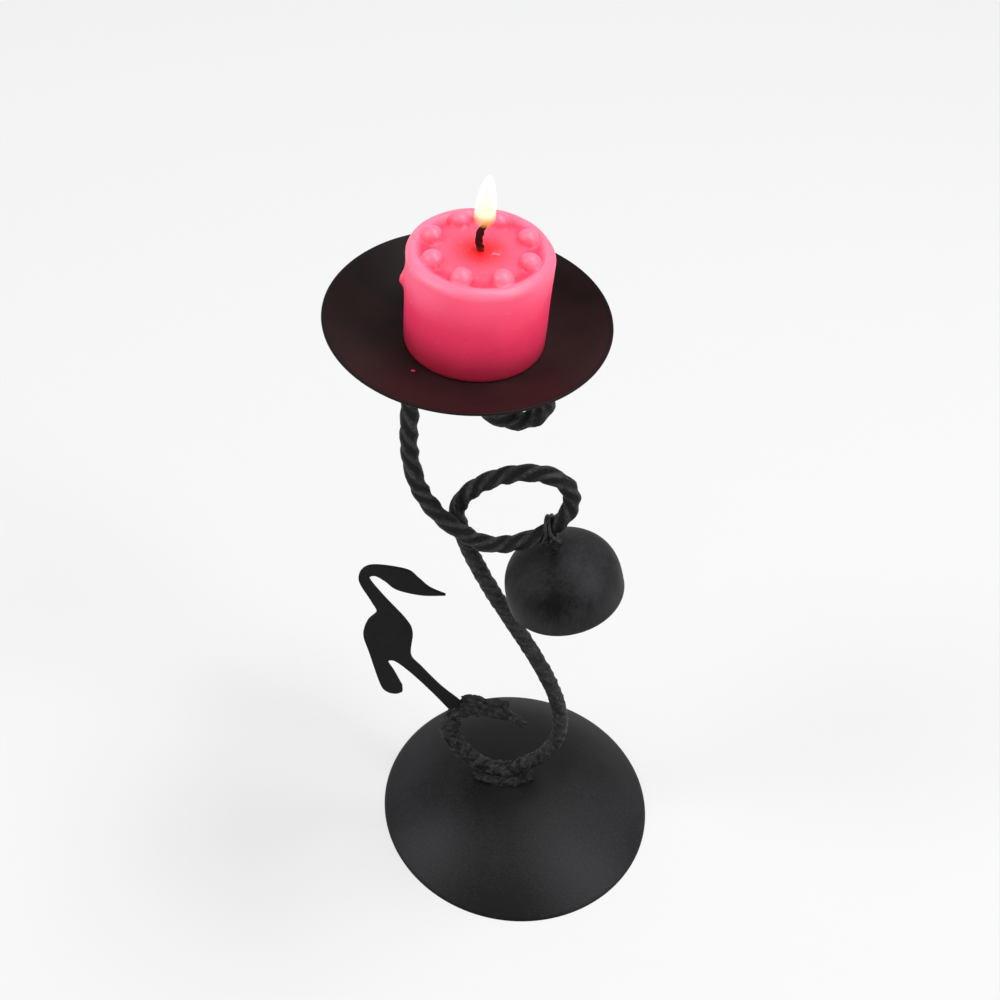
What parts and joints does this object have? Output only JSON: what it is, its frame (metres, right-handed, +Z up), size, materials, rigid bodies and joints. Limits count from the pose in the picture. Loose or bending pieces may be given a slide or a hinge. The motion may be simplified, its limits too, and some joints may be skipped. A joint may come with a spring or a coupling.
{
  "type": "candle stand",
  "caption": "Small wrought candle stand: a twisted square bar bent in an S with loops on a domed foot, with a shallow dish, pillar candle, hanging bell and cut-out bird.",
  "frame": {"origin": "on the table under the stand, midway between the left edge of the dish and the right edge of the foot, in the plane of the loops", "axes": "+Z up; +X towards the side that the bell hangs on; the loops of the bar lie in the X-Z plane; the picture looks from -Y, from above"},
  "size_m": [0.151, 0.125, 0.3283],
  "materials": {
    "black_iron": "satin black, lightly uneven from forging",
    "dish_iron": "satin black with a brownish red cast",
    "wire": "dark drawn wire, half matt",
    "pink_wax": "smooth wax, paler towards the top",
    "wick_cord": "waxed and charred cotton"
  },
  "bodies": {
    "stand": {"base_dome": "black_iron", "twisted_bar": "black_iron", "base_weld": "black_iron", "plate_weld": "black_iron", "bird_figure": "black_iron", "bird_weld_front": "black_iron", "bird_weld_back": "black_iron", "drip_plate": "dish_iron"},
    "candle": {"candle_wax": "pink_wax", "candle_wick": "wick_cord"},
    "hanger": {"hanger_wire": "wire"},
    "bell": {"bell_shell": "black_iron", "bell_eye": "wire"},
    "clapper": {"clapper_hook": "wire", "clapper_ball": "black_iron"}
  },
  "joints": [
    {"name": "candle_lift", "type": "slide", "parent": "stand", "child": "candle", "axis": [0, 0, 1], "range_m": [0, 0.06]},
    {"name": "hanger_swing", "type": "hinge", "parent": "stand", "child": "hanger", "pos_m": [0.01183, -0.00244, 0.19327], "axis": [0.9511, 0, 0.309], "range_deg": [-15, 15]},
    {"name": "bell_swing", "type": "hinge", "parent": "hanger", "child": "bell", "pos_m": [0.01409, -0.00244, 0.18629], "axis": [0, -1, 0], "range_deg": [0, 40]},
    {"name": "clapper_swing", "type": "hinge", "parent": "bell", "child": "clapper", "pos_m": [0.017, -0.00244, 0.17521], "axis": [0, -1, 0], "range_deg": [-38, 66]}
  ]
}
